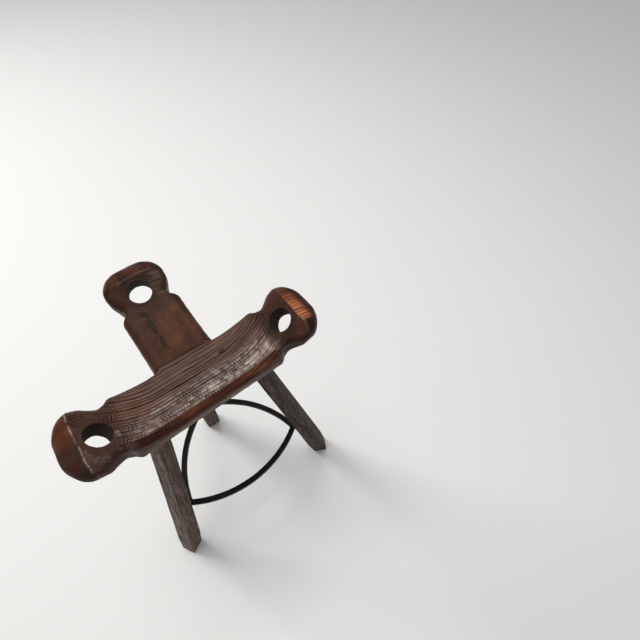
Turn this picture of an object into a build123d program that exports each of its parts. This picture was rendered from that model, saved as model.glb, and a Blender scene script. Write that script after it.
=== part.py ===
"""A tripod bar stool: a carved T-shaped seat with three pierced knobs, on three splayed legs.

X runs along the crossbar of the T, Y from the crossbar towards the tail, Z up. Sizes are millimetres.
The stool stands on the floor at Z = 0, with the middle of its outer box above the origin.
"""
import math
import os

from build123d import *

# Seat planks
underside_height = 700.0  # floor to the flat underside of both planks
plank_thickness = 37.0
crossbar_width = 98.0
tail_width = 102.0
hole_spacing = 296.0  # between the two holes of the crossbar
tail_hole_reach = 183.0  # from the crossbar's middle line to the tail's hole
hole_offset = 8.0  # the crossbar's holes lie this much nearer to its front edge
knob_offset = 6.0  # and its knobs this much
hole_diameter = 38.0
hole_tilt = 28.0  # degrees, the holes are bored square to the rising top

# Knobs, measured along a plank from the centre of their hole
dish_start_before_hole = 93.0  # the flat top starts to rise here
shoulder_before_hole = 30.0
neck_before_hole = 12.5
full_knob_after_hole = 16.0
ridge_after_hole = 23.5
knob_end_after_hole = 54.5
tail_knob_end_after_hole = 59.5
neck_width = 81.0
knob_width = 108.0
tail_knob_width = 104.5
ridge_rise = 77.0  # underside to the ridge that crosses the knob outside its hole
nose_rise = 59.0  # underside to the outermost point of the knob
belly_rise = 34.0  # underside of the plank to the underside of the knob below its ridge

# Rounded shape of planks and knobs
top_edge_radius = 14.0
bottom_edge_radius = 11.0
knob_edge_share = 0.46  # radius of a knob's long edges, of its thickness
dish_stations = 20  # cross-sections from the start of the rise to the ridge
nose_shares = (0.2, 0.4, 0.6, 0.8, 0.92)  # cross-sections beyond the ridge
nose_exponent = 2.0  # of the knob's end in plan, 2 is an ellipse

# Joint between tail and crossbar
tongue_width = 60.0
tongue_thickness = 16.0
tongue_length = 45.0
peg_diameter = 9.0
peg_length = 30.0
peg_spacing = 34.0
peg_from_shoulder = 22.0
joint_clearance = 0.15  # around the tongue, the pegs and the tenons

# Legs
front_spread_top = 176.0  # between the front legs' middles at the seat's underside
front_spread_foot = 442.0
front_setback_foot = 3.0  # the front feet stand this much behind the crossbar's middle line
back_reach_top = 121.0  # from the crossbar's middle line to the back leg
back_reach_foot = 279.0
leg_top_size = 27.0
leg_knee_size = 41.0
leg_foot_size = 38.0
knee_height = 88.0  # the leg is thickest here
front_leg_turn = 28.0  # degrees, the front legs face the middle of the footrest
leg_edge_radius = 2.0
tenon_diameter = 20.0
tenon_length = 24.0

# Footrest
footrest_height = 279.0  # floor to the middle of the bars
bar_size = 12.0
front_bow = 45.0  # rise of the front bar's arc above its chord
side_bow = 30.0
corner_inset = 4.0  # from a leg's inner face to the corner of the bars' middle lines
corner_shift = 9.0  # of the front corners, towards the front edge of the leg's inner face
screw_diameter = 4.0
screw_grip = 20.0  # length of the screw inside the leg
screw_head_diameter = 9.0
screw_head_height = 2.5
screw_head_inset = 4.0  # from the corner of the middle lines to the head's seat
screw_clearance = 0.1  # around the screw

overrun = 5.0  # cutting shapes reach this far past what they cut


def section(x, y, width, low, high, top_radius, bottom_radius):
    """Cross-section of a plank at x, a rectangle about y with rounded corners."""
    near = y - width / 2
    far = y + width / 2
    corners = [(near, low), (far, low), (far, high), (near, high)]
    radii = [bottom_radius, bottom_radius, top_radius, top_radius]
    outline = FilletPolyline(*corners, radius=radii, close=True)
    return Plane(origin=(x, 0, 0), x_dir=(0, 1, 0), z_dir=(1, 0, 0)) * make_face(outline)


def blend(value, start, end):
    """Smooth step from 0 to 1 as value runs from start to end."""
    share = min(max((value - start) / (end - start), 0), 1)
    return math.sin(share * math.pi / 2) ** 2


def dish(offset):
    """Height of the top above the underside at an offset from the hole."""
    rise = ridge_rise - plank_thickness
    span = dish_start_before_hole + ridge_after_hole
    radius = (span**2 + rise**2) / (2 * rise)
    run = max(dish_start_before_hole + offset, 0)
    return plank_thickness + radius - math.sqrt(radius**2 - run**2)


def rising_sections(hole_at, width, full_width, knob_shift):
    """Cross-sections from the start of the rise, over shoulder and neck, to the ridge."""
    sections = []
    for station in range(dish_stations + 1):
        share = station / dish_stations
        offset = share * (dish_start_before_hole + ridge_after_hole) - dish_start_before_hole
        narrowing = blend(offset, -shoulder_before_hole, -neck_before_hole) * (width - neck_width)
        widening = blend(offset, -neck_before_hole, full_knob_after_hole) * (full_width - neck_width)
        knob = blend(offset, -shoulder_before_hole, ridge_after_hole)
        low = belly_rise * knob
        high = dish(offset)
        knob_radius = knob_edge_share * (high - low)
        top_radius = top_edge_radius + knob * (knob_radius - top_edge_radius)
        bottom_radius = bottom_edge_radius + knob * (knob_radius - bottom_edge_radius)
        wide = width - narrowing + widening
        shift = blend(offset, -shoulder_before_hole, full_knob_after_hole) * knob_shift
        sections.append(section(hole_at + offset, shift, wide, low, high, top_radius, bottom_radius))
    return sections


def nose_sections(hole_at, full_width, end, knob_shift):
    """Cross-sections from the ridge to the end of the knob."""
    sections = []
    for share in (0,) + nose_shares:
        fall = math.sqrt(1 - share**2)
        low = nose_rise - (nose_rise - belly_rise) * fall
        high = nose_rise + (ridge_rise - nose_rise) * fall
        wide = full_width * (1 - share**nose_exponent) ** (1 / nose_exponent)
        offset = ridge_after_hole + share / nose_shares[-1] * (end - ridge_after_hole)
        radius = knob_edge_share * (high - low)
        sections.append(section(hole_at + offset, knob_shift, wide, low, high, radius, radius))
    return sections


def plank(start, end, width):
    """Straight part of a seat plank along +X."""
    end_face = section(start, 0, width, 0, plank_thickness, top_edge_radius, bottom_edge_radius)
    return extrude(end_face, amount=end - start, dir=(1, 0, 0))


def arm(hole_at, width, full_width, end, knob_shift, hole_shift):
    """One arm of the seat along +X, from X = 0 to the end of its pierced knob."""
    straight = plank(0, hole_at - dish_start_before_hole, width)
    rising = loft(rising_sections(hole_at, width, full_width, knob_shift))
    solid = straight + rising + loft(nose_sections(hole_at, full_width, end, knob_shift))
    bore = Cylinder(hole_diameter / 2, ridge_rise * 2)
    solid = solid - Location((hole_at, hole_shift, dish(0)), (0, -hole_tilt, 0)) * bore
    floor = Pos(hole_at, 0, -overrun / 2) * Box(hole_at * 2, full_width * 2, overrun)
    return solid - floor


def tongue(clearance):
    """Stub tongue on the end of the tail, along -X from the tail's shoulder."""
    length = tongue_length + clearance
    size = (length + overrun, tongue_width + 2 * clearance, tongue_thickness + 2 * clearance)
    return Pos((overrun - length) / 2, 0, plank_thickness / 2) * Box(*size)


def pegs(clearance):
    """The two pegs that lock the tongue, from below, in the tail's own frame."""
    length = peg_length + clearance
    peg = Pos(-peg_from_shoulder, 0, length / 2) * Cylinder(peg_diameter / 2 + clearance, length)
    return [Pos(0, side * peg_spacing / 2, 0) * peg for side in (-1, 1)]


def between(low_value, high_value, height):
    """Value at a height, when it changes evenly from the floor to the seat's underside."""
    return low_value + (high_value - low_value) * height / underside_height


class Leg:
    """One leg, leaning from the foot to the top, with one face to the middle of the footrest."""

    def __init__(self, foot, top, turn, shift):
        self.foot = foot
        self.top = top
        self.turn = turn
        self.shift = shift

    def middle(self, height):
        """Point on the leg's middle line at a height."""
        return Vector(*(between(a, b, height) for a, b in zip(self.foot, self.top)), height)

    def size(self, height):
        """Side of the leg's square between the knee and the top."""
        share = (height - knee_height) / (underside_height - knee_height)
        return leg_knee_size + (leg_top_size - leg_knee_size) * share

    def square(self, height, side):
        """Horizontal cross-section of the leg."""
        place = Location(self.middle(height), (0, 0, self.turn))
        return place * RectangleRounded(side, side, leg_edge_radius)

    def inward(self):
        """Direction of the face that looks to the middle of the footrest."""
        return Vector(1, 0, 0).rotate(Axis.Z, self.turn)

    def corner(self):
        """Corner of the footrest bars' middle lines at this leg."""
        sideways = self.inward().rotate(Axis.Z, 90)
        inset = self.size(footrest_height) / 2 + corner_inset
        return self.middle(footrest_height) + self.inward() * inset + sideways * self.shift

    def along(self, start, length, radius):
        """Cylinder on the leg's middle line, from start above the seat's underside."""
        rise = (self.middle(underside_height) - self.middle(0)).normalized()
        place = Plane(origin=self.middle(underside_height) + rise * start, z_dir=rise)
        return place * extrude(Circle(radius), amount=length)

    def tenon_hole(self):
        """What the round tenon needs in the underside of the seat."""
        length = overrun + tenon_length + joint_clearance
        return self.along(-overrun, length, tenon_diameter / 2 + joint_clearance)

    def body(self):
        """The leg with its tenon, without the screw hole."""
        foot = self.square(0, leg_foot_size)
        knee = self.square(knee_height, leg_knee_size)
        top = self.square(underside_height, leg_top_size)
        shaft = loft([foot, knee], ruled=True) + loft([knee, top], ruled=True)
        return shaft + self.along(-overrun, tenon_length + overrun, tenon_diameter / 2)

    def screw_along(self, start, length, radius):
        """Cylinder through the corner of the bars into the leg, from start inside the corner."""
        place = Plane(origin=self.corner() + self.inward() * start, z_dir=-self.inward())
        return place * extrude(Circle(radius), amount=length)

    def screw_length(self):
        """From the seat of the head to the tip."""
        return screw_head_inset + corner_inset + screw_grip

    def screw(self):
        """The screw that holds the corner of the footrest on this leg."""
        head_start = screw_head_inset + screw_head_height
        head = self.screw_along(head_start, screw_head_height, screw_head_diameter / 2)
        return head + self.screw_along(screw_head_inset, self.screw_length(), screw_diameter / 2)

    def screw_space(self):
        """What the screw needs in the bars and in the leg."""
        radius = screw_diameter / 2 + screw_clearance
        head_radius = screw_head_diameter / 2 + screw_clearance
        hole = self.screw_along(screw_head_inset, self.screw_length() + screw_clearance, radius)
        return hole + self.screw_along(screw_head_inset + bar_size, bar_size, head_radius)


class Bar:
    """One bowed bar of the footrest, from one corner to the next."""

    def __init__(self, start, end, rise):
        self.start = start
        self.end = end
        chord = end - start
        self.radius = (chord.length**2 / 4 + rise**2) / (2 * rise)
        self.outward = chord.normalized().rotate(Axis.Z, -90)
        self.centre = (start + end) / 2 - self.outward * (self.radius - rise)

    def leaving(self, corner):
        """Direction of the bar as it leaves one of its corners."""
        quarter = 90 if corner == self.start else -90
        return (corner - self.centre).normalized().rotate(Axis.Z, quarter)

    def piece(self, start_mitre, end_mitre):
        """The bar between two mitre planes that run along the given directions."""
        outer = Circle(self.radius + bar_size / 2)
        band = Pos(self.centre.X, self.centre.Y) * (outer - Circle(self.radius - bar_size / 2))
        reach = self.radius * 2
        wedge = Polyline(
            self.start + start_mitre * bar_size,
            self.start - start_mitre * reach,
            self.end - end_mitre * reach,
            self.end + end_mitre * bar_size,
            close=True,
        )
        plan = band & make_face(wedge)
        return Pos(0, 0, footrest_height - bar_size / 2) * extrude(plan, amount=bar_size, dir=(0, 0, 1))


def make_footrest(legs):
    """The three bars, each from one leg to the next, mitred at the corners and cut to the legs."""
    corners = [Vector(leg.corner().X, leg.corner().Y, 0) for leg in legs]
    rises = [front_bow, side_bow, side_bow]
    bars = [Bar(corners[i], corners[(i + 1) % 3], rises[i]) for i in range(3)]
    mitres = []
    for i in range(3):
        mitre = bars[i].leaving(corners[i]) + bars[i - 1].leaving(corners[i])
        mitres.append(mitre.normalized())
    pieces = []
    for i in range(3):
        piece = bars[i].piece(mitres[i], mitres[(i + 1) % 3])
        for leg in (legs[i], legs[(i + 1) % 3]):
            piece = piece - leg.body() - leg.screw_space()
        pieces.append(piece)
    return pieces


def make_stool():
    """All pieces by name, as lists of solids, in the crossbar's frame."""
    foot_x = front_spread_foot / 2
    top_x = front_spread_top / 2
    left = Leg((-foot_x, front_setback_foot), (-top_x, 0), front_leg_turn, -corner_shift)
    right = Leg((foot_x, front_setback_foot), (top_x, 0), 180 - front_leg_turn, corner_shift)
    back = Leg((0, back_reach_foot), (0, back_reach_top), -90, 0)
    legs = [left, right, back]

    to_seat = Pos(0, 0, underside_height)
    to_tail = Location((0, crossbar_width / 2, underside_height), (0, 0, 90))
    half = arm(
        hole_spacing / 2, crossbar_width, knob_width, knob_end_after_hole, -knob_offset, -hole_offset
    )
    crossbar = half + mirror(half, Plane.YZ)
    # The tail's flush shoulder takes the place of the rounded back edge
    shoulder = Location((0, 0, 0), (0, 0, 90)) * plank(crossbar_width / 4, crossbar_width / 2, tail_width)
    crossbar = to_seat * (crossbar - shoulder + shoulder)
    crossbar = crossbar - to_tail * tongue(joint_clearance)
    tail_hole_at = tail_hole_reach - crossbar_width / 2
    tail = arm(tail_hole_at, tail_width, tail_knob_width, tail_knob_end_after_hole, 0, 0)
    tail = to_tail * (tail + tongue(0))
    for hole in pegs(joint_clearance):
        crossbar = crossbar - to_tail * hole
        tail = tail - to_tail * hole
    for leg in (left, right):
        crossbar = crossbar - leg.tenon_hole()
    tail = tail - back.tenon_hole()

    front_bar, right_bar, left_bar = make_footrest(legs)
    return {
        "seat_crossbar": [crossbar],
        "seat_tail": [tail],
        "tail_joint_pegs": [to_tail * peg for peg in pegs(0)],
        "leg_front_left": [left.body() - left.screw_space()],
        "leg_front_right": [right.body() - right.screw_space()],
        "leg_back": [back.body() - back.screw_space()],
        "footrest_bar_front": [front_bar],
        "footrest_bar_left": [left_bar],
        "footrest_bar_right": [right_bar],
        "footrest_screws": [leg.screw() for leg in legs],
    }


def export(stool):
    """Write one file for each piece, with the origin on the floor under the middle of the outer box."""
    boxes = [solid.bounding_box() for solids in stool.values() for solid in solids]
    middle_x = (min(box.min.X for box in boxes) + max(box.max.X for box in boxes)) / 2
    middle_y = (min(box.min.Y for box in boxes) + max(box.max.Y for box in boxes)) / 2
    to_origin = Pos(-middle_x, -middle_y, 0)
    os.makedirs("parts", exist_ok=True)
    for name, solids in stool.items():
        moved = Compound([(to_origin * solid).solid() for solid in solids])
        export_step(moved, f"parts/{name}.step")


if __name__ == "__main__":
    export(make_stool())
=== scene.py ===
import math
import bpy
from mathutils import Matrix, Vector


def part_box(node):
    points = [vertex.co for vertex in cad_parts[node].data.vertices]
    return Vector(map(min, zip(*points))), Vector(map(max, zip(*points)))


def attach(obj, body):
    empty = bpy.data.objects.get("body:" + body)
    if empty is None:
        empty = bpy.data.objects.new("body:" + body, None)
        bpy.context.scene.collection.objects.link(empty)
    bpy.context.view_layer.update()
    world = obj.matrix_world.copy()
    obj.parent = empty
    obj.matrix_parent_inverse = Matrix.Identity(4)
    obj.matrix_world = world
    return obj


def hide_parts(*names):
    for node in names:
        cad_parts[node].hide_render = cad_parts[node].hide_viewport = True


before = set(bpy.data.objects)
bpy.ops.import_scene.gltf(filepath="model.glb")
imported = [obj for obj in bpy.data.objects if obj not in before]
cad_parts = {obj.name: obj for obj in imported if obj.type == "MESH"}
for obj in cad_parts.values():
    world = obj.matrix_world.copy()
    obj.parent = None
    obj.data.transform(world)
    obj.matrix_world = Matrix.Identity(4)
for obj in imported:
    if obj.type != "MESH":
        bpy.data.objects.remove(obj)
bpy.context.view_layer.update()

from types import SimpleNamespace

import bmesh
import bpy
import numpy as np
from bpy.props import FloatProperty, FloatVectorProperty, PointerProperty
from bpy.types import Node, NodeSocket, Operator, Panel, PropertyGroup
from mathutils import Quaternion, Vector, noise

bl_info = {
    "name": "Carved tripod bar stool",
    "version": (1, 0, 0),
    "blender": (4, 5, 0),
    "location": "View3D > Sidebar > Stool",
    "description": "Carved softwood pieces, iron footrest and stage for the bar stool",
    "category": "Object",
}

MM = 0.001

# Sizes of the seat in millimetres
THICKNESS = 37.0
HALF_CROSSBAR = 49.0
HALF_TAIL = 51.0
TOP_RADIUS = 14.0
BOTTOM_RADIUS = 11.0
KNOB_REACH = 60.19  # from the crossbar's middle line to the front of its knobs
HOLE_REACH = 148.0  # from the middle of the crossbar to its holes
TAIL_HOLE_REACH = 183.0  # from the crossbar's middle line to the tail's hole
HOLE_OFFSET = 8.0  # the crossbar's holes lie this much nearer to its front
HOLE_RISE = 61.37  # from the underside to the middle of a hole's rim
HOLE_TILT = math.radians(28)
RIDGE_AFTER_HOLE = 23.5  # the crown of a knob starts this far beyond its hole
KNOB_BLEND = (108, 132)  # the plank turns into its knob between these distances from the middle
BORE_WALL = (21.5, 19.8)  # a bore's wall starts between these distances from its axis
HOLLOW_RADIUS = 34  # of the wear round a hole
SEAM_BLEND = (1.5, 12)  # the carving fades in between these distances from the seam

# Places of the seat in the frame, in millimetres
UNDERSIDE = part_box("seat_crossbar")[0].z / MM
CROSSBAR_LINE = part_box("seat_crossbar")[0].y / MM + KNOB_REACH
SEAM = CROSSBAR_LINE + HALF_CROSSBAR  # the tail butts against the crossbar here
HOLE_LINE = CROSSBAR_LINE - HOLE_OFFSET
HOLE_HEIGHT = UNDERSIDE + HOLE_RISE
UP = Vector((0, 0, 1))

# Each hole of the seat: the middle of its rim, and the way to its knob's end
HOLES = {
    "left": (Vector((-HOLE_REACH, HOLE_LINE, HOLE_HEIGHT)), Vector((-1, 0, 0))),
    "right": (Vector((HOLE_REACH, HOLE_LINE, HOLE_HEIGHT)), Vector((1, 0, 0))),
    "tail": (Vector((0, CROSSBAR_LINE + TAIL_HOLE_REACH, HOLE_HEIGHT)), Vector((0, 1, 0))),
}

# Single marks on the seat, in millimetres from the crossbar's middle
KNOT_HEART = (51.6, 14.7)
KNOT_BOW = (51, 15)  # the rings bow round this place
NICKS = (-128, -17)
WORN_CORNERS = (((-168, -36), (7, 14)), ((-157, -45), (13, 7)))  # places and half sizes
FRONT_GLEAM = (121, -35)
ROSY_END = (-98, 6)
SWIRL = (-11, 158)
TAIL_CRACK = -14.2  # runs this far beside the tail's middle
TAIL_FLECKS = (-10, 64)
TAIL_GLEAM = (34, TAIL_HOLE_REACH)

# Patterns of the wood in millimetres: along the grain, then across the rings, then round the pith
RING_WANDER = (90, 9, 30)
RING_RUN = 70  # a ring fades in and out over about this length
CHECK_SPACING = 4.6
FLECK_LENGTH = 9
FIBRE_STRETCH = 26  # times longer than wide
CLOUDS = (60, 12, 12)
CHIPS = (2.4, 1.5, 1.5)

# Each leg with how far its wood is darkened
LEGS = (("leg_front_left", 0.1), ("leg_front_right", 0.55), ("leg_back", 0.25))

# Lamps: power in watts, side and place in metres, and whether they show in reflections.
# The window's light comes through a curtain, so only the ceiling panel shows as a gleam.
LAMPS = (
    ("window", 84, 1.8, Vector((-1.5, 3.1, 2.8)), False),
    ("ceiling", 36, 1.2, Vector((0.0, 0.2, 3.2)), True),
)
LIT_PLACE = Vector((0, 0, 0.4))  # the lamps point at the middle of the stool
DAYLIGHT = (0.97, 0.98, 1.0, 1)
SENSOR_WIDTH = 36  # millimetres, as the lens setting says
FLOOR_HALF_WIDTH = 6  # metres


def linear(hex_colour):
    """Linear RGBA of an sRGB hex colour."""
    shares = [int(hex_colour[i : i + 2], 16) / 255 for i in (1, 3, 5)]
    return [c / 12.92 if c <= 0.04045 else ((c + 0.055) / 1.055) ** 2.4 for c in shares] + [1.0]


def toned(rgba, factor):
    """A linear colour made darker or lighter by a factor."""
    return [min(channel * factor, 1) for channel in rgba[:3]] + [1]


def colour(name, description, hex_colour):
    """A colour property with an sRGB default."""
    return FloatVectorProperty(
        name=name, description=description, subtype="COLOR", size=4, min=0, max=1, default=linear(hex_colour)
    )


def length(name, description, millimetres):
    """A length property with its default in millimetres."""
    return FloatProperty(
        name=name, description=description, unit="LENGTH", subtype="DISTANCE", min=0, default=millimetres * MM
    )


def angle(name, description, radians):
    """An angle property."""
    return FloatProperty(name=name, description=description, subtype="ANGLE", default=radians)


def strength(name, description, value):
    """A light's strength as a property."""
    return FloatProperty(name=name, description=description, min=0, default=value)


class SeatSettings(PropertyGroup):
    voxel: length("Voxel", "Size of the remesh under the carving", 1.3)
    ring_spacing: length("Ring spacing", "Between two growth rings of the seat", 3.9)
    unevenness: length("Unevenness", "Depth of the hand tool's marks", 0.7)
    hollow_depth: length("Hollow depth", "Wear round each hole", 1.4)
    ridge_stain: colour("Ridge stain", "Latewood ridges of the brushed top", "#5d463c")
    groove_stain: colour("Groove stain", "Eroded earlywood, where the stain pools", "#170e0a")
    # Painted sheen: the sat-on ridges are lightened to this silvery grey
    sheen_colour: colour("Sat-on stain", "Ridges that clothes have burnished to a silvery grey", "#ab9b92")
    tail_stain: colour("Tail stain", "Smoother wood of the tail", "#42281b")
    polished_stain: colour("Polished stain", "Knob ends and edges, rubbed dark", "#38170c")
    warm_stain: colour("Warm stain", "Where the finish is rubbed thin and glows red", "#a1613d")
    raw_wood: colour("Raw wood", "Dull lower strip that the finish missed", "#7d6a5d")
    # Also the painted shade in the bores and under the seat
    grime_and_shade: colour("Grime", "Hollows and hole walls", "#30231c")


class LegSettings(PropertyGroup):
    voxel: length("Voxel", "Size of the remesh under the hewn faces", 1.8)
    ring_spacing: length("Ring spacing", "Between two growth rings of a leg", 3.4)
    unevenness: length("Unevenness", "Depth of the plane's and the axe's marks", 0.6)
    wood: colour("Wood", "Dull stained faces", "#5d4d43")
    # Also the painted light on the front left leg's outer face
    weathered_and_lit: colour("Weathered", "Greyer, paler streaks", "#7a6a61")
    fissure: colour("Fissure", "Cracks and open grain", "#241a15")


class FootrestSettings(PropertyGroup):
    voxel: length("Voxel", "Size of the remesh under the forged skin", 1.0)
    unevenness: length("Unevenness", "Depth of the hammer's marks", 0.35)
    paint: colour("Paint", "Black paint on the iron", "#080808")
    steel: colour("Steel", "Blackened screws", "#4a4846")


class StageSettings(PropertyGroup):
    floor: colour("Floor", "Pale studio floor", "#f0efec")
    lens: FloatProperty(
        name="Lens", description="Focal length for a 36 mm sensor", unit="CAMERA", default=24.403
    )
    eye: FloatVectorProperty(
        name="Eye",
        description="Place of the camera",
        subtype="TRANSLATION",
        default=(-0.0321, -0.47243, 1.3215),
    )
    room_light: strength("Room light", "Strength of the even light from the walls", 0.4)
    backdrop: strength("Backdrop", "Brightness of the walls as the camera sees them", 0.55)
    heading: angle("Heading", "Turn from +Y to +X", 0.64396)
    tilt: angle("Tilt", "Angle below the horizon", 0.97237)
    roll: angle("Roll", "Turn about the line of sight", -0.02569)


class StoolSettings(PropertyGroup):
    seat: PointerProperty(type=SeatSettings)
    legs: PointerProperty(type=LegSettings)
    footrest: PointerProperty(type=FootrestSettings)
    stage: PointerProperty(type=StageSettings)


# Sockets that share a name are given by number: 1 to 4 of a Map Range node are the range that it reads
# and the range that it writes, and 0, 6 and 7 of a colour Mix node are its share and its two colours
def add_node(tree, kind, inputs=None, **settings):
    """Add a node, set its fields, and fill its inputs or link them to sockets or other nodes' results."""
    node = tree.nodes.new(kind)
    for field, value in settings.items():
        setattr(node, field, value)
    for socket, value in (inputs or {}).items():
        if isinstance(value, Node):
            value = next(output for output in value.outputs if output.enabled)
        if isinstance(value, NodeSocket):
            tree.links.new(value, node.inputs[socket])
        else:
            node.inputs[socket].default_value = value
    return node


def new_material(name):
    """An empty material and its node tree."""
    material = bpy.data.materials.new(name)
    material.use_nodes = True
    material.node_tree.nodes.clear()
    return material, material.node_tree


def finish_material(tree, inputs):
    """End a material's tree in a Principled shader with the given inputs."""
    shader = add_node(tree, "ShaderNodeBsdfPrincipled", inputs)
    add_node(tree, "ShaderNodeOutputMaterial", {"Surface": shader})


def mottled(tree, lump_mm, detail, dark, light):
    """Noise with lumps of a size in millimetres, and the colour between two that follows it."""
    place = add_node(tree, "ShaderNodeTexCoord").outputs["Object"]
    lumps = add_node(
        tree, "ShaderNodeTexNoise", {"Vector": place, "Scale": 1 / (lump_mm * MM), "Detail": detail}
    )
    tone = add_node(tree, "ShaderNodeMix", {0: lumps, 6: dark, 7: light}, data_type="RGBA")
    return lumps, tone


def smooth(value, start, end):
    """Smooth step from 0 to 1 as an array of values runs from start to end."""
    share = np.clip((value - start) / (end - start), 0, 1)
    return share * share * (3 - 2 * share)


def bell(value):
    """1 where an array of values is 0, falling off smoothly on both sides."""
    return np.exp(-(value**2))


def spot(skin, middle, half_sizes):
    """1 in the middle of an oval on the seat and 0 from its edge on."""
    across = (skin.x - middle[0]) / half_sizes[0]
    along = (skin.y - middle[1]) / half_sizes[1]
    return 1 - smooth(np.hypot(across, along), 0.55, 1.0)


def bumps(points, size, seed):
    """Soft noise from -1 to 1 at points in millimetres, with lumps of the given sizes."""
    scale = np.broadcast_to(np.asarray(size, float), (3,))
    offset = Vector((seed * 17.3, seed * 5.9, seed * 11.1))
    return np.array([noise.noise(Vector(p) + offset) for p in points / scale])


def swells(points, size, seed):
    """The same noise from 0 to 1."""
    return (bumps(points, size, seed) + 1) / 2


def scoops(points, size, seed):
    """Shallow gouge marks from 0 at their edges to 1 in their middles."""
    offset = Vector((seed * 13.7, seed * 7.1, seed * 3.3))
    nearest = np.array([noise.voronoi(Vector(p) + offset)[0][0] for p in points / size])
    return np.clip(1 - (nearest / 0.75) ** 2, 0, 1)


def read_vertices(mesh):
    """Vertex places in millimetres, and vertex normals."""
    places = np.empty(len(mesh.vertices) * 3)
    normals = np.empty(len(mesh.vertices) * 3)
    mesh.vertices.foreach_get("co", places)
    mesh.vertices.foreach_get("normal", normals)
    return places.reshape(-1, 3) / MM, normals.reshape(-1, 3)


def write_attribute(mesh, name, *parts):
    """Store one vector for each vertex, from three arrays or single values."""
    values = np.stack([np.broadcast_to(part, len(mesh.vertices)) for part in parts], axis=1)
    layer = mesh.attributes.new(name, "FLOAT_VECTOR", "POINT")
    layer.data.foreach_set("vector", np.ascontiguousarray(values, dtype=np.float32).ravel())


def write_grain(mesh, along, across, up, pith, warp):
    """Grain attribute in millimetres: along the fibres, out from the pith, and round it."""
    side = across - pith[0]
    rise = up - pith[1]
    write_attribute(mesh, "grain", along, np.hypot(side, rise) + warp, np.arctan2(side, rise) * 100)


def new_piece(name, mesh, material, node):
    """Link a finished mesh as a piece of the stool that stands for a CAD node."""
    piece = bpy.data.objects.new(name, mesh)
    bpy.context.scene.collection.objects.link(piece)
    mesh.materials.clear()
    mesh.materials.append(material)
    mesh.shade_smooth()
    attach(piece, "root")
    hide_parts(node)


def recolour(node, material):
    """Give a CAD node that stays as it is another material."""
    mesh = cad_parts[node].data
    mesh.materials.clear()
    mesh.materials.append(material)


def remeshed(mesh, voxel):
    """The mesh as an even skin of small faces."""
    holder = bpy.data.objects.new("holder", mesh)
    bpy.context.scene.collection.objects.link(holder)
    remesh = holder.modifiers.new("remesh", "REMESH")
    remesh.mode = "VOXEL"
    remesh.voxel_size = voxel
    remesh.adaptivity = 0.0
    graph = bpy.context.evaluated_depsgraph_get()
    result = bpy.data.meshes.new_from_object(holder.evaluated_get(graph))
    bpy.data.objects.remove(holder)
    return result


def blank(node, voxel):
    """A CAD node's mesh, merged, remeshed evenly and softened, as a blank for the carving."""
    shape = bmesh.new()
    shape.from_mesh(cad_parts[node].data)
    bmesh.ops.remove_doubles(shape, verts=shape.verts, dist=0.01 * MM)
    mesh = bpy.data.meshes.new(node)
    shape.to_mesh(mesh)
    shape.free()
    mesh = remeshed(mesh, voxel)
    shape = bmesh.new()
    shape.from_mesh(mesh)
    for _ in range(2):
        bmesh.ops.smooth_vert(
            shape, verts=shape.verts, factor=0.5, use_axis_x=True, use_axis_y=True, use_axis_z=True
        )
    bmesh.ops.recalc_face_normals(shape, faces=shape.faces)
    shape.to_mesh(mesh)
    shape.free()
    return mesh


def carve(mesh, places, normals, depth):
    """Press the mesh in along its normals by depths in millimetres."""
    moved = (places - normals * depth[:, None]) * MM
    mesh.vertices.foreach_set("co", moved.ravel())
    mesh.update()


def around_hole(places, hole):
    """Height of places above a hole's rim, and their distance from its axis."""
    rim, outward = HOLES[hole]
    across = UP.cross(outward)
    along = outward * math.cos(HOLE_TILT) + UP * math.sin(HOLE_TILT)
    axis = along.cross(across)
    offset = places - np.array(rim)
    out, side, up = (offset @ np.array(direction) for direction in (along, across, axis))
    return up, np.hypot(out, side)


def squared_to_seam(places):
    """Places with the remeshed edge at the seam sharp again, so that tail and crossbar meet in one line."""
    gap = np.abs(places[:, 1] - SEAM)
    x, z = places[:, 0], places[:, 2] - UNDERSIDE
    corner = np.where(z > THICKNESS / 2, TOP_RADIUS, BOTTOM_RADIUS)
    core_x = np.clip(x, corner - HALF_TAIL, HALF_TAIL - corner)
    core_z = np.clip(z, BOTTOM_RADIUS, THICKNESS - TOP_RADIUS)
    reach = np.hypot(x - core_x, z - core_z)
    inset = corner - reach
    # Only vertices a few millimetres from both the seam and the joint's rounded outline move
    beside = (gap < 4.5) & (reach > 1) & (inset < 3.5) & (inset > -1)
    to_outline = beside & (inset <= gap)
    to_plane = beside & (inset > gap)
    stretch = (corner / np.maximum(reach, 1))[to_outline]
    squared = places.copy()
    squared[to_outline, 0] = core_x[to_outline] + (x - core_x)[to_outline] * stretch
    squared[to_outline, 2] = UNDERSIDE + core_z[to_outline] + (z - core_z)[to_outline] * stretch
    squared[to_plane, 1] = SEAM
    return squared


def read_layers(tree):
    """Sockets for the piece's own attributes and for their parts: lengths, or shares from 0 to 1."""
    layers = SimpleNamespace()
    for name, parts in (
        ("grain", ("along", "radius")),
        ("finish", ("rubbed", "dirty", "brushed")),
        ("marks", ("checks", "dark", "pale")),
        ("patina", ("silver", "warm", "raw")),
    ):
        vector = add_node(tree, "ShaderNodeAttribute", attribute_name=name).outputs["Vector"]
        setattr(layers, name, vector)
        split = add_node(tree, "ShaderNodeSeparateXYZ", {0: vector})
        for part, socket in zip(parts, split.outputs):
            setattr(layers, part, socket)
    return layers


def grain_noise(tree, layers, sizes, inputs):
    """Noise in the wood's own directions, with lumps of the given sizes in millimetres."""
    scale = [1 / size for size in sizes]
    place = add_node(tree, "ShaderNodeVectorMath", {0: layers.grain, 1: scale}, operation="MULTIPLY")
    return add_node(tree, "ShaderNodeTexNoise", {"Vector": place, "Scale": 1.0, **inputs})


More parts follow.
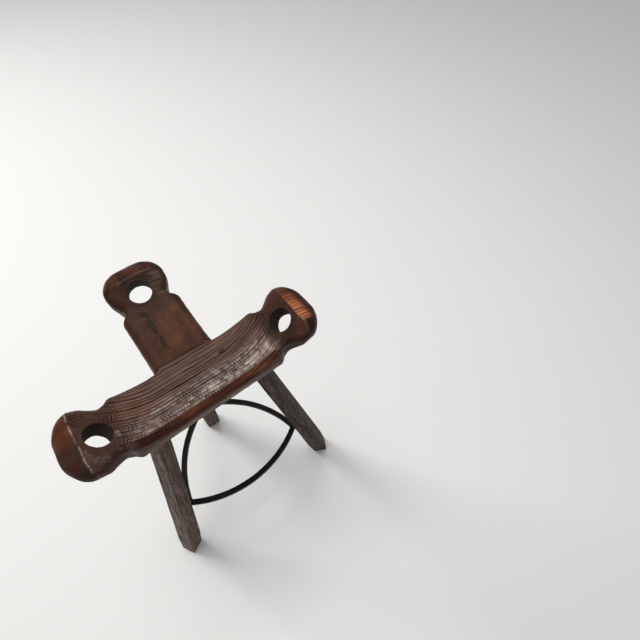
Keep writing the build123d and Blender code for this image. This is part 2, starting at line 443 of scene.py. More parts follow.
def growth_rings(tree, layers, ring_mm):
    """Rings of uneven width and depth, each an eroded groove and then a hard ridge that ends in a step."""
    wander = grain_noise(tree, layers, RING_WANDER, {"Detail": 2.0})
    rings = add_node(tree, "ShaderNodeMath", {0: layers.radius, 1: 1 / ring_mm}, operation="MULTIPLY")
    rings = add_node(tree, "ShaderNodeMath", {0: wander, 1: 1.6, 2: rings}, operation="MULTIPLY_ADD")
    across = add_node(tree, "ShaderNodeMath", {0: rings}, operation="FRACT")
    ridge = add_node(tree, "ShaderNodeValToRGB", {"Fac": across})
    ridge.color_ramp.interpolation = "EASE"
    ridge.color_ramp.elements[-1].color = (0, 0, 0, 1)
    for place, level in ((0.1, 0.08), (0.27, 0.8), (0.8, 1.0), (0.95, 0.9)):
        ridge.color_ramp.elements.new(place).color = (level, level, level, 1)

    # Some rings are cut deeper than others, and each fades in and out along the grain
    number = add_node(tree, "ShaderNodeMath", {0: rings}, operation="FLOOR")
    chance = add_node(tree, "ShaderNodeTexWhiteNoise", {"W": number}, noise_dimensions="1D")
    run = add_node(tree, "ShaderNodeMath", {0: layers.along, 1: 1 / RING_RUN}, operation="MULTIPLY")
    run = add_node(tree, "ShaderNodeCombineXYZ", {0: run, 1: number})
    run = add_node(tree, "ShaderNodeTexNoise", {"Vector": run, "Scale": 1.7, "Detail": 1.0})
    run = add_node(tree, "ShaderNodeMapRange", {0: run, 1: 0.35, 2: 0.6, 3: 0.5, 4: 1.0})
    depth = add_node(tree, "ShaderNodeMapRange", {0: chance, 1: 0.0, 2: 1.0, 3: 0.35, 4: 1.3})
    depth = add_node(tree, "ShaderNodeMath", {0: depth, 1: run}, operation="MULTIPLY")
    depth = add_node(tree, "ShaderNodeMath", {0: depth, 1: layers.brushed}, operation="MULTIPLY")
    valley = add_node(tree, "ShaderNodeMath", {0: 1.0, 1: ridge}, operation="SUBTRACT")
    valley = add_node(tree, "ShaderNodeMath", {0: valley, 1: depth}, operation="MULTIPLY")
    return SimpleNamespace(wander=wander, number=number, chance=chance, valley=valley)


def ring_checks(tree, layers, rings):
    """Checks: short cracks across each ridge, out of step from ring to ring."""
    step = add_node(tree, "ShaderNodeMath", {0: layers.along, 1: 1 / CHECK_SPACING}, operation="MULTIPLY")
    step = add_node(tree, "ShaderNodeMath", {0: rings.wander, 1: 2.5, 2: step}, operation="MULTIPLY_ADD")
    step = add_node(tree, "ShaderNodeMath", {0: rings.chance, 1: 3.7, 2: step}, operation="MULTIPLY_ADD")
    nearest = add_node(tree, "ShaderNodeMath", {0: step, 1: 0.5}, operation="PINGPONG")
    crack = add_node(tree, "ShaderNodeMapRange", {0: nearest, 1: 0.05, 2: 0.19, 3: 1.0, 4: 0.0})
    cell = add_node(tree, "ShaderNodeMath", {0: step, 1: 1.0}, operation="SNAP")
    cell = add_node(tree, "ShaderNodeCombineXYZ", {0: cell, 1: rings.number})
    present = add_node(tree, "ShaderNodeTexWhiteNoise", {"Vector": cell}, noise_dimensions="2D")
    present = add_node(tree, "ShaderNodeMapRange", {0: present, 1: 0.1, 2: 0.6, 3: 0.0, 4: 0.95})
    crack = add_node(tree, "ShaderNodeMath", {0: crack, 1: present}, operation="MULTIPLY")
    return add_node(tree, "ShaderNodeMath", {0: crack, 1: layers.checks}, operation="MULTIPLY")


def wood_relief(tree, rings, fibres, crack, relief_mm):
    """Bump whose height in millimetres follows the rings, the fibres and the checks."""
    height = add_node(tree, "ShaderNodeMath", {0: rings.valley, 1: -relief_mm}, operation="MULTIPLY")
    for pattern, share in ((fibres, 0.3), (crack, -0.8)):
        height = add_node(
            tree, "ShaderNodeMath", {0: pattern, 1: relief_mm * share, 2: height}, operation="MULTIPLY_ADD"
        )
    return add_node(tree, "ShaderNodeBump", {"Height": height, "Strength": 1.0, "Distance": MM})


def flecked_sheen_and_weathering(tree, layers, rings, tone):
    """Share of the painted silvery sheen (on the legs, of the pale weathering), broken up into flecks along
    each ring.
    """
    along = add_node(tree, "ShaderNodeMath", {0: layers.along, 1: 1 / FLECK_LENGTH}, operation="MULTIPLY")
    row = add_node(tree, "ShaderNodeMath", {0: rings.number, 1: 7.3}, operation="MULTIPLY")
    flecks = add_node(tree, "ShaderNodeCombineXYZ", {0: along, 1: row})
    flecks = add_node(tree, "ShaderNodeTexNoise", {"Vector": flecks, "Scale": 1.0, "Detail": 2.5})
    flecks = add_node(tree, "ShaderNodeMapRange", {0: flecks, 1: 0.38, 2: 0.62, 3: 0.1, 4: 1.3})
    flecks = add_node(tree, "ShaderNodeMath", {0: flecks, 1: tone}, operation="MULTIPLY")
    return add_node(
        tree, "ShaderNodeMath", {0: layers.silver, 1: flecks}, operation="MULTIPLY", use_clamp=True
    )


def wood_shade(tree, rings, fibres, tone):
    """Factor for the wood's colour, which varies in clouds, along the fibres and from ring to ring."""
    streak = add_node(tree, "ShaderNodeMapRange", {0: fibres, 1: 0.35, 2: 0.65, 3: 0.78, 4: 1.2})
    ring_tone = add_node(tree, "ShaderNodeMapRange", {0: rings.chance, 1: 0.0, 2: 1.0, 3: 1.1, 4: 0.88})
    shade = add_node(tree, "ShaderNodeMath", {0: tone, 1: streak}, operation="MULTIPLY")
    return add_node(tree, "ShaderNodeMath", {0: shade, 1: ring_tone}, operation="MULTIPLY")


def wood_roughness(tree, layers, fibres, sheen_and_weathering_share, groove, ridge_roughness):
    """Open grain, dirt and painted shade are dull, ridges and rubbed places carry the wax."""
    rough = add_node(tree, "ShaderNodeMapRange", {0: groove, 1: 0.0, 2: 1.0, 3: ridge_roughness, 4: 0.85})
    wax = add_node(tree, "ShaderNodeMath", {0: sheen_and_weathering_share, 1: 0.5, 2: layers.rubbed}, operation="MULTIPLY_ADD")
    unwaxed = add_node(
        tree, "ShaderNodeMath", {0: wax, 1: -0.46, 2: 1.0}, operation="MULTIPLY_ADD", use_clamp=True
    )
    rough = add_node(tree, "ShaderNodeMath", {0: rough, 1: unwaxed}, operation="MULTIPLY")
    dull = add_node(tree, "ShaderNodeMath", {0: layers.dirty, 1: layers.raw}, operation="MAXIMUM")
    rough = add_node(tree, "ShaderNodeMix", {0: dull, 2: rough, 3: 0.7}, data_type="FLOAT")
    return add_node(
        tree, "ShaderNodeMath", {0: fibres, 1: 0.14, 2: rough}, operation="MULTIPLY_ADD", use_clamp=True
    )


def stained_pine(name, palette, ring_mm, fibre_mm, relief_mm, ridge_roughness, specular):
    """Stained softwood that reads its grain, finish, marks and patina from the piece's attributes.

    Its fibres are drawn about a millimetre wide, far coarser than real ones, so that they show.
    """
    material, tree = new_material(name)
    layers = read_layers(tree)
    rings = growth_rings(tree, layers, ring_mm)
    fibre_sizes = (fibre_mm * FIBRE_STRETCH, fibre_mm, fibre_mm)
    fibres = grain_noise(tree, layers, fibre_sizes, {"Detail": 3.0, "Roughness": 0.6})
    clouds = grain_noise(tree, layers, CLOUDS, {"Detail": 4.0, "Roughness": 0.55})
    tone = add_node(tree, "ShaderNodeMapRange", {0: clouds, 1: 0.3, 2: 0.7, 3: 0.74, 4: 1.26})
    chips = grain_noise(tree, layers, CHIPS, {"Detail": 2.0})
    chips = add_node(tree, "ShaderNodeMapRange", {0: chips, 1: 0.42, 2: 0.6, 3: 0.15, 4: 1.0})
    worn = add_node(tree, "ShaderNodeMath", {0: layers.pale, 1: chips}, operation="MULTIPLY")
    crack = ring_checks(tree, layers, rings)
    sheen_and_weathering_share = flecked_sheen_and_weathering(tree, layers, rings, tone)
    groove = add_node(
        tree, "ShaderNodeMath", {0: rings.valley, 1: 1.9}, operation="MULTIPLY", use_clamp=True
    )

    # Painted sheen (weathering on the legs), wear, polish, dirt and painted shade lie over the stain, and
    # grooves, cracks, dark marks with more painted shade, and chips cut through them
    base = palette["ridge"]
    for share, finish in (
        (sheen_and_weathering_share, "silver"), (layers.raw, "raw"), (layers.rubbed, "polished"), (layers.warm, "warm"),
        (layers.dirty, "grime_and_shade"),
    ):
        base = add_node(tree, "ShaderNodeMix", {0: share, 6: base, 7: palette[finish]}, data_type="RGBA")
    shade = wood_shade(tree, rings, fibres, tone)
    base = add_node(tree, "ShaderNodeVectorMath", {0: base, "Scale": shade}, operation="SCALE")
    for share, finish in ((groove, "groove"), (crack, "groove"), (layers.dark, "groove"), (worn, "pale")):
        base = add_node(tree, "ShaderNodeMix", {0: share, 6: base, 7: palette[finish]}, data_type="RGBA")

    finish_material(tree, {
        "Base Color": base,
        "Roughness": wood_roughness(tree, layers, fibres, sheen_and_weathering_share, groove, ridge_roughness),
        "Normal": wood_relief(tree, rings, fibres, crack, relief_mm),
        "IOR": 1.5,
        "Specular IOR Level": specular,
    })
    return material


def seat_palette(seat):
    """Colours of the seat's wood by their use in the material."""
    return {
        "ridge": seat.ridge_stain, "groove": seat.groove_stain, "silver": seat.sheen_colour,
        "polished": seat.polished_stain, "warm": seat.warm_stain, "raw": seat.raw_wood,
        "grime_and_shade": seat.grime_and_shade, "pale": toned(seat.sheen_colour, 1.9),
    }


def leg_palette(legs):
    """Colours of the legs' wood by their use in the material."""
    return {
        "ridge": legs.wood, "groove": legs.fissure, "silver": legs.weathered_and_lit, "polished": legs.wood,
        "warm": legs.wood, "raw": legs.weathered_and_lit, "grime_and_shade": legs.fissure, "pale": legs.weathered_and_lit,
    }


def black_painted_iron(footrest):
    """Black paint brushed over forged iron: satin, with a light orange peel over the hammer's blows."""
    material, tree = new_material("black_painted_iron")
    peel, tone = mottled(tree, 2.5, 3.0, toned(footrest.paint, 0.7), footrest.paint)
    place = add_node(tree, "ShaderNodeTexCoord").outputs["Object"]
    blows = add_node(tree, "ShaderNodeTexNoise", {"Vector": place, "Scale": 1 / (18 * MM), "Detail": 2.0})
    height = add_node(tree, "ShaderNodeMath", {0: peel, 1: 0.08, 2: blows}, operation="MULTIPLY_ADD")
    finish_material(tree, {
        "Base Color": tone,
        "Roughness": add_node(tree, "ShaderNodeMapRange", {0: blows, 1: 0.3, 2: 0.7, 3: 0.42, 4: 0.58}),
        "Normal": add_node(tree, "ShaderNodeBump", {"Height": height, "Strength": 1.0, "Distance": 0.6 * MM}),
        "Specular IOR Level": 0.12,
    })
    return material


def blackened_steel(footrest):
    """Heat-blackened mild steel of the screws: a dark metal gleam, with scale drawn coarse enough to show."""
    material, tree = new_material("blackened_steel")
    grit, tone = mottled(tree, 1.2, 3.0, toned(footrest.steel, 0.5), footrest.steel)
    rough = add_node(tree, "ShaderNodeMapRange", {0: grit, 1: 0.3, 2: 0.7, 3: 0.35, 4: 0.6})
    finish_material(tree, {"Base Color": tone, "Roughness": rough, "Metallic": 1.0})
    return material


def beech_peg_end_grain(legs):
    """Sawn ends of stained beech pegs: matt, with dark pores drawn coarser than real ones to show."""
    material, tree = new_material("beech_peg_end_grain")
    _, tone = mottled(tree, 0.9, 3.0, legs.fissure, legs.wood)
    finish_material(tree, {"Base Color": tone, "Roughness": 0.65})
    return material


def painted_studio_floor(stage):
    """Pale matt emulsion paint, mottled so faintly that the floor still looks plain."""
    material, tree = new_material("painted_studio_floor")
    _, tone = mottled(tree, 400, 2.0, toned(stage.floor, 0.985), stage.floor)
    finish_material(tree, {"Base Color": tone, "Roughness": 0.9, "Specular IOR Level": 0.2})
    return material


def seat_skin(mesh, seed):
    """A seat blank's vertices, with their places on the seat, its top and underside, and the tool's marks."""
    places, normals = read_vertices(mesh)
    return SimpleNamespace(
        places=places,
        normals=normals,
        x=places[:, 0],
        y=places[:, 1] - CROSSBAR_LINE,
        z=places[:, 2] - UNDERSIDE,
        top=smooth(normals[:, 2], 0.35, 0.85),
        under=smooth(-normals[:, 2], 0.3, 0.9),
        lumps=swells(places, 42, seed),
        pocks=swells(places, 16, seed + 1),
        gouges=scoops(places, 15, seed + 2),
    )


def seat_depth(seat, skin, hewn, dip):
    """How deep the tool's marks, the dip and the wear round the holes cut into the seat, in millimetres."""
    gouges = skin.gouges * (0.2 + 0.8 * hewn)
    depth = seat.unevenness / MM * (0.5 * skin.lumps + 0.3 * skin.pocks + 0.7 * gouges) + dip
    for reach in skin.reaches:
        depth = depth + seat.hollow_depth / MM * bell(reach / HOLLOW_RADIUS) * (1 - skin.crown) * skin.top
    return depth


def bore_wall(up, reach):
    """1 on the wall of a hole's bore below its rim."""
    start, full = BORE_WALL
    return smooth(-reach, -start, -full) * smooth(-up, 0.3, 2.5)


def crossbar_skin(mesh):
    """The crossbar's vertices, with shares from 0 to 1 for its faces, knobs, crowns, hollows and bores."""
    skin = seat_skin(mesh, 1)
    skin.front = smooth(-skin.normals[:, 1], 0.25, 0.8)
    skin.back = smooth(skin.normals[:, 1], 0.25, 0.8)
    wave = 1.2 * bumps(skin.places, (60, 14, 60), 8)
    skin.beyond = np.abs(skin.x) - HOLE_REACH - RIDGE_AFTER_HOLE + wave
    skin.crown = smooth(skin.beyond, -1.3, 1.3)
    skin.right_crown = skin.crown * smooth(skin.x, 0, 1) * skin.top
    skin.knob = smooth(np.abs(skin.x), *KNOB_BLEND)
    holes = [around_hole(skin.places, hole) for hole in ("left", "right")]
    skin.reaches = [reach for _, reach in holes]
    hollows = [smooth(-reach, -38, -22) * (1 - skin.crown) * skin.top for reach in skin.reaches]
    skin.hollow = np.maximum(*hollows)
    skin.bore = np.maximum(*(bore_wall(up, reach) for up, reach in holes))
    skin.knob_side = skin.knob * (1 - skin.top) * (1 - skin.bore)
    front_edge = skin.front * smooth(skin.z, 17, 24)
    brink = smooth(-skin.y, 37.5, 41.5) * smooth(skin.z, 20, 26)
    back_edge = 0.7 * skin.back * smooth(skin.z, 18, 26)
    skin.edge = np.maximum.reduce([front_edge, brink, back_edge]) * (1 - skin.knob)
    return skin


def carve_crossbar(mesh, seat, skin):
    """Carve the blank, which dips to its front edge and stays flush at the seam."""
    dip = 1.3 * smooth(-skin.y, 8, 44) * skin.top * (1 - skin.knob)
    depth = seat_depth(seat, skin, np.maximum(skin.front, skin.crown), dip)
    beside_tail = smooth(np.abs(skin.x), HALF_TAIL + 2, HALF_TAIL + 13)
    off_seam = np.maximum(smooth(SEAM - skin.places[:, 1], *SEAM_BLEND), beside_tail)
    carve(mesh, squared_to_seam(skin.places), skin.normals, depth * off_seam * (1 - 0.6 * skin.under))


def grain_crossbar(mesh, skin):
    """Grain in arcs round a pith below the back edge, pushed apart by a knot."""
    warp = 4.5 * bumps(skin.places * (1, 1, 0.3), (130, 60, 60), 4) + bumps(skin.places, (40, 16, 16), 5)
    across_knot = (skin.y - KNOT_BOW[1]) / 7
    along_knot = (skin.x - KNOT_BOW[0]) / 20
    warp = warp + 4.6 * across_knot * np.exp(-(across_knot**2) - along_knot**2)
    write_grain(mesh, skin.x, skin.y, skin.z, (95, -45), warp)


def finish_crossbar(mesh, skin):
    """Polish on crowns, edges and knobs, dirt in the hollows, painted shade in the bores and underneath, and
    brushed grain on the top.
    """
    x, y, top, crown, lumps = skin.x, skin.y, skin.top, skin.crown, skin.lumps
    left, right = x < 0, x > 0

    # Hands have rubbed the necks beside the holes, most at the right end
    handled = (0.62 + 0.2 * right) * (smooth(np.abs(x), 104, 136) * top)
    rubbed = np.maximum.reduce([crown, skin.edge, 0.9 * skin.knob_side, handled, 0.5 * skin.hollow])

    # The left crown is darkened in blotches, most towards its front, and the right hollow is the dirtier one
    figure = crown * left * smooth(-y, -22, 20) * smooth(bumps(skin.places, (30, 15, 30), 10), -0.45, 0.3)
    # Painted shade: the bore walls and the underside are darkened with the grime colour too
    dirty = (0.3 + 0.55 * right) * skin.hollow + 0.85 * figure + skin.bore + 0.5 * skin.under

    # The brushed grain fades out on the knobs, except on the back of the left one
    smooth_knob = smooth(np.abs(x), 118, 140) * (1 - 0.7 * smooth(y, 8, 24) * left) * (1 - crown)
    brushed = top * (1 - 0.92 * smooth_knob) * (1 - 0.55 * crown) * (0.75 + 0.25 * lumps)
    brushed = brushed * (1 - 0.5 * crown * left) + 0.12 * (1 - top) + 0.35 * skin.right_crown
    write_attribute(mesh, "finish", np.clip(rubbed, 0, 1), np.clip(dirty, 0, 1), brushed)


def mark_crossbar(mesh, skin):
    """Checks across the grain, the dark knot and arcs, painted shade on the right knob's front, and the pale
    ridge lines and chips.
    """
    x, y, top, crown, places = skin.x, skin.y, skin.top, skin.crown, skin.places
    left, right = x < 0, x > 0
    crossways = smooth(bumps(places, (34, 20, 22), 7), -0.25, 0.3)
    checks = crossways * top * (1 - skin.knob * right) * (1 - crown)
    checks = checks * np.maximum(smooth(-y, 2, 18) * smooth(-x, -95, -55), smooth(-x, 80, 130))

    knot = 0.75 * spot(skin, KNOT_HEART, (7.5, 5.2)) * top
    # Painted shade: the front end of the right crown and the front-facing sides of the right knob are
    # darkened
    shaded = np.maximum(0.6 * crown * smooth(-y, 40, 50), 0.4 * skin.knob_side * skin.front)
    dark = np.maximum(knot, right * shaded)
    for reach in skin.reaches:
        # Growth rings show as dark arcs in front of each hole
        arcs = smooth(np.cos(reach * 1.45 + bumps(places, 14, 24)), 0.35, 0.9)
        arcs = 0.5 * arcs * (reach > 24) * (reach < 46) * smooth(-y, 22, 32) * (1 - crown)
        dark = np.maximum(dark, arcs)

    # Two short nicks beside the left hole, the rubbed ridge lines and the left knob's worn corner
    nick_x, nick_y = x - NICKS[0], y - NICKS[1]
    nicks = 0.22 * (np.abs(nick_x) < 3) * (np.abs(nick_y) < 5) * (np.abs(nick_y - 0.5) > 0.8) * top
    ridge_line = bell(skin.beyond) * top * smooth(bumps(places, (30, 13, 30), 9), -0.5, 0.2)
    worn_corner = np.maximum(*(spot(skin, middle, half_sizes) for middle, half_sizes in WORN_CORNERS))
    pale = np.maximum.reduce([nicks, ridge_line * np.where(left, 0.55, 0.12), 0.08 * worn_corner])
    write_attribute(mesh, "marks", checks, dark, pale)


def age_crossbar(mesh, skin):
    """Painted silvery sheen where people sit, a painted gleam at the front right, warm crowns and edge with a
    painted highlight on the right crown, and a raw strip low on the front.
    """
    x, y, z, top = skin.x, skin.y, skin.z, skin.top
    patches = smooth(bumps(skin.places, (36, 18, 18), 6), -0.35, 0.35)
    # Painted sheen: the front half of the top is lightened in patches, more towards the right
    silver = smooth(-y, -8, 20) * (1 - smooth(-y, 37, 41)) * top * (1 - 0.8 * skin.knob)
    silver = silver * (0.5 + 0.5 * patches) * (0.45 + 0.5 * smooth(x, -60, 40))
    # Painted highlight: a gleam lightened onto the up-facing front right of the top
    gleam = 0.5 * spot(skin, FRONT_GLEAM, (12, 9)) * smooth(skin.normals[:, 2], 0.1, 0.5)
    # Real red rubbed finish on the right crown, brightest in a band near its front as a painted highlight
    right_crown = skin.right_crown * (1 - smooth(skin.beyond, 10, 23)) * smooth(y, -46, -34)
    right_crown = right_crown * (1 - 0.75 * smooth(y, -12, 22))
    left_crown = skin.crown * smooth(-x, 0, 1) * smooth(y, -30, 4) * 0.1
    rosy_edge = skin.edge * (0.35 + 0.65 * patches) * 0.34 * smooth(z, 26, 33) * smooth(x, -90, -20)
    rosy_end = 0.12 * spot(skin, ROSY_END, (34, 30)) * top
    warm = np.clip(np.maximum.reduce([right_crown, left_crown, rosy_edge, rosy_end]), 0, 1)
    raw = (1 - smooth(z, 15, 21)) * skin.front * (1 - skin.knob) * (1 - 0.5 * skin.under)
    write_attribute(mesh, "patina", np.maximum(silver, gleam), warm, raw)


class STOOL_OT_crossbar(Operator):
    """Carve the crossbar with its two pierced knobs and brushed grain"""

    bl_idname = "stool.crossbar"
    bl_label = "Crossbar"

    def execute(self, context):
        seat = context.scene.stool.seat
        mesh = blank("seat_crossbar", seat.voxel)
        skin = crossbar_skin(mesh)
        carve_crossbar(mesh, seat, skin)
        grain_crossbar(mesh, skin)
        finish_crossbar(mesh, skin)
        mark_crossbar(mesh, skin)
        age_crossbar(mesh, skin)

        # Wire-brushed stained pine: dark grooves of scrubbed-out earlywood between waxy, paler ridges
        material = stained_pine(
            "wire_brushed_stained_pine", seat_palette(seat), ring_mm=seat.ring_spacing / MM, fibre_mm=0.7,
            relief_mm=1.1, ridge_roughness=0.46, specular=0.13,
        )
        new_piece("crossbar", mesh, material, "seat_crossbar")
        return {"FINISHED"}


def tail_skin(mesh):
    """The tail's vertices, with shares from 0 to 1 for its faces, crown, hollow, bore, crack and swirl."""
    skin = seat_skin(mesh, 11)
    x, y, top = skin.x, skin.y, skin.top
    skin.side = smooth(np.abs(skin.normals[:, 0]), 0.3, 0.9)
    bowed = ((x - 4) / 34) ** 2 * 3
    skin.beyond = y - TAIL_HOLE_REACH - RIDGE_AFTER_HOLE + bowed + 1.2 * bumps(skin.places, (14, 60, 60), 8)
    skin.crown = smooth(skin.beyond, -1.3, 1.3)
    up, reach = around_hole(skin.places, "tail")
    skin.reaches = [reach]
    skin.hollow = smooth(-reach, -44, -22) * (1 - skin.crown) * top
    skin.bore = bore_wall(up, reach)
    crack_line = TAIL_CRACK + bumps(skin.places, (9, 9, 9), 19)
    skin.crack = bell((x - crack_line) / 1.3) * smooth(y, 196, 203) * (1 - smooth(y, 226, 234)) * top
    skin.swirl = bell(np.hypot(x - SWIRL[0], (y - SWIRL[1]) / 1.5) / 13)
    return skin


def carve_tail(mesh, seat, skin):
    """Carve the blank, which stays flush at the seam, and open its drying crack from crown to hole."""
    depth = seat_depth(seat, skin, np.maximum(skin.side, skin.crown), 0)
    off_seam = smooth(skin.places[:, 1] - SEAM, *SEAM_BLEND)
    carve(mesh, squared_to_seam(skin.places), skin.normals, depth * off_seam + 1.2 * skin.crack)


def grain_tail(mesh, skin):
    """Flat-sawn grain, with a small swirl in front of the hole."""
    warp = 3 * bumps(skin.places, (60, 130, 60), 14) + 0.8 * bumps(skin.places, (16, 40, 16), 15)
    write_grain(mesh, skin.y, skin.x, skin.z, (-14, -120), warp + 5 * skin.swirl)


def finish_tail(mesh, skin):
    """Polish on the crown and flanks, dirt in the hollow, painted shade in the bore and underneath, and
    hardly any brushed grain.
    """
    flank = np.maximum(skin.side * smooth(skin.z, 14, 24), smooth(np.abs(skin.x), 40, 49) * skin.top * 0.6)
    rubbed = np.maximum.reduce([skin.crown, flank, 0.5 * skin.hollow])
    figure = skin.crown * smooth(bumps(skin.places, (15, 30, 30), 21), -0.3, 0.4)
    # Painted shade: the bore wall and the underside are darkened with the grime colour too
    dirty = 0.4 * skin.hollow + 0.5 * figure + skin.bore + 0.5 * skin.under
    brushed = (0.03 + 0.34 * skin.swirl) * skin.top * (1 - skin.crown) + 0.22 * skin.crown + 0.05
    write_attribute(mesh, "finish", np.clip(rubbed, 0, 1), np.clip(dirty, 0, 1), brushed)


def mark_tail(mesh, skin):
    """The dark stain along the middle, the crack and the seam, painted shade in the bore, and the pale ridge
    line and flecks.
    """
    x, y, top = skin.x, skin.y, skin.top
    middle = -14 + 2 * bumps(skin.places, (200, 24, 200), 17)
    blots = smooth(bumps(skin.places, (7, 15, 7), 18), -0.15, 0.2)
    wide = 6.5 + 3 * smooth(-y, -140, -95)
    streak = bell((x - middle) / wide) * smooth(y, 66, 84) * (1 - smooth(y, 150, 160))
    seam = bell(skin.places[:, 1] - SEAM)
    # Painted shade: the bore's wall is darkened as well
    dark = np.maximum.reduce([0.7 * streak * blots * top, 0.95 * skin.crack, 0.6 * skin.bore, 0.5 * seam])
    ridge_line = bell(skin.beyond / 1.2) * top * smooth(x, -32, -24) * (1 - smooth(x, 34, 42))
    flecks = spot(skin, TAIL_FLECKS, (5, 3)) * smooth(bumps(skin.places, 3, 20), 0.1, 0.4)
    pale = np.maximum(0.2 * ridge_line * skin.pocks, 0.2 * flecks)
    write_attribute(mesh, "marks", 0, np.clip(dark, 0, 1), np.clip(pale, 0, 1))


def age_tail(mesh, skin):
    """A faint painted gleam beside the hole, a red patch on the right half and the crown, and raw lower
    sides.
    """
    x, y, z, top, crown = skin.x, skin.y, skin.z, skin.top, skin.crown
    patches = smooth(bumps(skin.places, (22, 40, 30), 16), -0.3, 0.3)
    red = patches * smooth(x, -14, 2) * smooth(y, 60, 80) * (1 - smooth(y, 128, 150)) * top
    # Painted highlight: a faint gleam lightened beside the tail's hole
    silver = 0.16 * spot(skin, TAIL_GLEAM, (22, 26)) * top * (1 - crown)
    warm = np.clip(0.15 * red + 0.1 * crown * patches, 0, 1)
    raw = (1 - smooth(z, 10, 16)) * skin.side * (1 - crown) * 0.6
    write_attribute(mesh, "patina", silver, warm, raw)


class STOOL_OT_tail(Operator):
    """Carve the tail with its pierced knob and smoother top"""

    bl_idname = "stool.tail"
    bl_label = "Tail"

    def execute(self, context):
        seat = context.scene.stool.seat
        mesh = blank("seat_tail", seat.voxel)
        skin = tail_skin(mesh)
        carve_tail(mesh, seat, skin)
        grain_tail(mesh, skin)
        finish_tail(mesh, skin)
        mark_tail(mesh, skin)
        age_tail(mesh, skin)

        # Planed stained pine, rubbed smooth by hands: an even dark brown with a soft gleam
        material = stained_pine(
            "rubbed_stained_pine", dict(seat_palette(seat), ridge=seat.tail_stain), ring_mm=2.2, fibre_mm=0.8,
            relief_mm=0.5, ridge_roughness=0.46, specular=0.13,
        )
        new_piece("tail", mesh, material, "seat_tail")
        return {"FINISHED"}


def middle_line(places):
    """For each vertex of a leg, the point of the leg's middle line at its height."""
    z = places[:, 2]
    low = places[z < z.min() + 5].mean(axis=0)
    high = places[np.abs(z - (UNDERSIDE - 10)) < 4].mean(axis=0)
    return low + (high - low) * ((z - low[2]) / (high[2] - low[2]))[:, None]


def hew_leg(mesh, legs, seed, darkening, outer_face_painted_lit):
    """Hew a leg's blank with plane and axe, and store its grain, darkening, drying cracks and weathering,
    with painted light on the outer face if asked.
    """
    places, normals = read_vertices(mesh)
    z = places[:, 2]
    local = places - middle_line(places)
    wear = swells(places, (26, 26, 110), 21 + seed)
    fine = swells(places, (9, 9, 36), 25 + seed)
    on_floor = smooth(-normals[:, 2], 0.7, 0.95)
    lengthwise = local * (1, 1, 0) + places * (0, 0, 0.035)
    split = smooth(bumps(lengthwise, (3.2, 3.2, 4), 35 + seed), 0.36, 0.55)
    depth = legs.unevenness / MM * (0.8 * wear + 0.3 * fine) + 0.5 * split
    carve(mesh, places, normals, depth * (1 - on_floor))

    warp = 2 * bumps(places, (40, 40, 200), 31 + seed)
    write_grain(mesh, z, local[:, 0], local[:, 1], (28, 34), warp)
    write_attribute(mesh, "finish", 0, darkening, 0.4)
    write_attribute(mesh, "marks", 0, split * 0.7, 0)
    dry = 0.8 * smooth(bumps(places, (7, 7, 170), 41 + seed), -0.4, 0.5)
    # Painted light: the left-facing outer face is lightened with the weathered colour
    if outer_face_painted_lit:
        dry = np.clip(dry + 0.8 * smooth(-normals[:, 0], 0.4, 0.8), 0, 1)
    write_attribute(mesh, "patina", dry, 0, 0)


class STOOL_OT_legs(Operator):
    """Hew the three legs"""

    bl_idname = "stool.legs"
    bl_label = "Legs"

    def execute(self, context):
        legs = context.scene.stool.legs
        # Hewn stained pine: dull, dry, with open grain and long drying cracks
        material = stained_pine(
            "hewn_stained_pine", leg_palette(legs), ring_mm=legs.ring_spacing / MM, fibre_mm=1.0,
            relief_mm=0.3, ridge_roughness=0.66, specular=0.12,
        )
        for seed, (node, darkening) in enumerate(LEGS):
            mesh = blank(node, legs.voxel)
            hew_leg(mesh, legs, seed, darkening, node == "leg_front_left")
            new_piece(node.replace("leg_", "hewn_leg_"), mesh, material, node)
        return {"FINISHED"}


class STOOL_OT_footrest(Operator):
    """Forge the three bars of the footrest"""

    bl_idname = "stool.footrest"
    bl_label = "Footrest"

    def execute(self, context):
        footrest = context.scene.stool.footrest
        material = black_painted_iron(footrest)
        for seed, side in enumerate(("front", "left", "right")):
            node = f"footrest_bar_{side}"
            mesh = blank(node, footrest.voxel)
            places, normals = read_vertices(mesh)
            carve(mesh, places, normals, footrest.unevenness / MM * swells(places, 22, 41 + seed))
            new_piece(f"forged_bar_{side}", mesh, material, node)
        return {"FINISHED"}


class STOOL_OT_fasteners(Operator):
    """Finish the pegs of the joint and the screws of the footrest"""

    bl_idname = "stool.fasteners"
    bl_label = "Fasteners"

    def execute(self, context):
        stool = context.scene.stool
        recolour("footrest_screws", blackened_steel(stool.footrest))
        recolour("tail_joint_pegs", beech_peg_end_grain(stool.legs))
        return {"FINISHED"}


def lay_floor(stage):
    """A plain square floor."""
    shape = bmesh.new()
    bmesh.ops.create_grid(shape, x_segments=8, y_segments=8, size=FLOOR_HALF_WIDTH)
    mesh = bpy.data.meshes.new("floor")
    shape.to_mesh(mesh)
    shape.free()
    mesh.materials.append(painted_studio_floor(stage))
    floor = bpy.data.objects.new("floor", mesh)
    bpy.context.scene.collection.objects.link(floor)


def hang_lamps():
    """Two soft square lamps, pointed at the stool."""
    for name, power, side, place, gleams in LAMPS:
        light = bpy.data.lights.new(name, "AREA")
        light.energy = power
        light.size = side
        lamp = bpy.data.objects.new(name, light)
        lamp.location = place
        lamp.rotation_mode = "QUATERNION"
        lamp.rotation_quaternion = (LIT_PLACE - place).to_track_quat("-Z", "Y")
        lamp.visible_glossy = gleams
        bpy.context.scene.collection.objects.link(lamp)


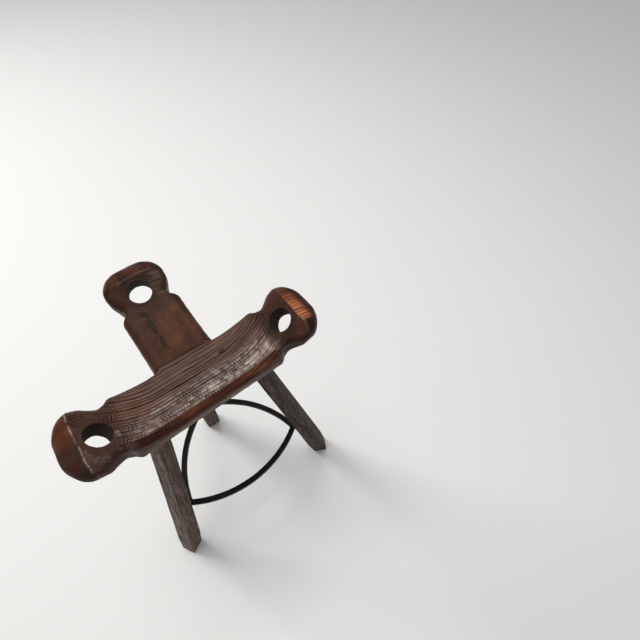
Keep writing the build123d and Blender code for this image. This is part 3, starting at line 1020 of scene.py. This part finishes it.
def fill_room(stage):
    """Even light from the room's walls, which are seen and reflected as a backdrop of the floor's colour."""
    world = bpy.data.worlds.new("studio")
    world.use_nodes = True
    tree = world.node_tree
    tree.nodes.clear()
    ray = add_node(tree, "ShaderNodeLightPath").outputs
    seen = add_node(
        tree, "ShaderNodeMath", {0: ray["Is Camera Ray"], 1: ray["Is Glossy Ray"]}, operation="MAXIMUM"
    )
    seen = add_node(tree, "ShaderNodeMath", {0: seen, 1: ray["Is Transmission Ray"]}, operation="MAXIMUM")
    room = add_node(tree, "ShaderNodeBackground", {"Color": DAYLIGHT, "Strength": stage.room_light})
    backdrop = add_node(tree, "ShaderNodeBackground", {"Color": stage.floor, "Strength": stage.backdrop})
    either = add_node(tree, "ShaderNodeMixShader", {0: seen, 1: room, 2: backdrop})
    add_node(tree, "ShaderNodeOutputWorld", {"Surface": either})
    bpy.context.scene.world = world
    bpy.context.scene.view_settings.view_transform = "Standard"


def aim_camera(stage):
    """The camera at the photograph's viewing angle."""
    lens = bpy.data.cameras.new("camera")
    lens.sensor_width = SENSOR_WIDTH
    lens.sensor_fit = "HORIZONTAL"
    lens.lens = stage.lens
    level = math.cos(stage.tilt)
    look = Vector((math.sin(stage.heading) * level, math.cos(stage.heading) * level, -math.sin(stage.tilt)))
    camera = bpy.data.objects.new("camera", lens)
    camera.location = stage.eye
    camera.rotation_mode = "QUATERNION"
    camera.rotation_quaternion = look.to_track_quat("-Z", "Y") @ Quaternion((0, 0, 1), stage.roll)
    bpy.context.scene.collection.objects.link(camera)
    bpy.context.scene.camera = camera


class STOOL_OT_stage(Operator):
    """Set the floor, lamps, world and camera"""

    bl_idname = "stool.stage"
    bl_label = "Stage"

    def execute(self, context):
        stage = context.scene.stool.stage
        lay_floor(stage)
        hang_lamps()
        fill_room(stage)
        aim_camera(stage)
        return {"FINISHED"}


class STOOL_PT_panel(Panel):
    """Sizes and colours of the stool"""

    bl_idname = "STOOL_PT_panel"
    bl_label = "Bar stool"
    bl_space_type = "VIEW_3D"
    bl_region_type = "UI"
    bl_category = "Stool"

    def draw(self, context):
        for operator in OPERATORS:
            self.layout.operator(operator.bl_idname)
        for part in ("seat", "legs", "footrest", "stage"):
            group = getattr(context.scene.stool, part)
            box = self.layout.box()
            box.label(text=part.title())
            for name in group.__annotations__:
                box.prop(group, name)


OPERATORS = (
    STOOL_OT_crossbar,
    STOOL_OT_tail,
    STOOL_OT_legs,
    STOOL_OT_footrest,
    STOOL_OT_fasteners,
    STOOL_OT_stage,
)
SETTINGS = (SeatSettings, LegSettings, FootrestSettings, StageSettings, StoolSettings)
CLASSES = SETTINGS + OPERATORS + (STOOL_PT_panel,)


def register():
    for cls in CLASSES:
        bpy.utils.register_class(cls)
    bpy.types.Scene.stool = PointerProperty(type=StoolSettings)


def unregister():
    del bpy.types.Scene.stool
    for cls in reversed(CLASSES):
        bpy.utils.unregister_class(cls)


def main():
    register()
    bpy.ops.stool.crossbar()
    bpy.ops.stool.tail()
    bpy.ops.stool.legs()
    bpy.ops.stool.footrest()
    bpy.ops.stool.fasteners()
    bpy.ops.stool.stage()


if __name__ == "__main__":
    main()
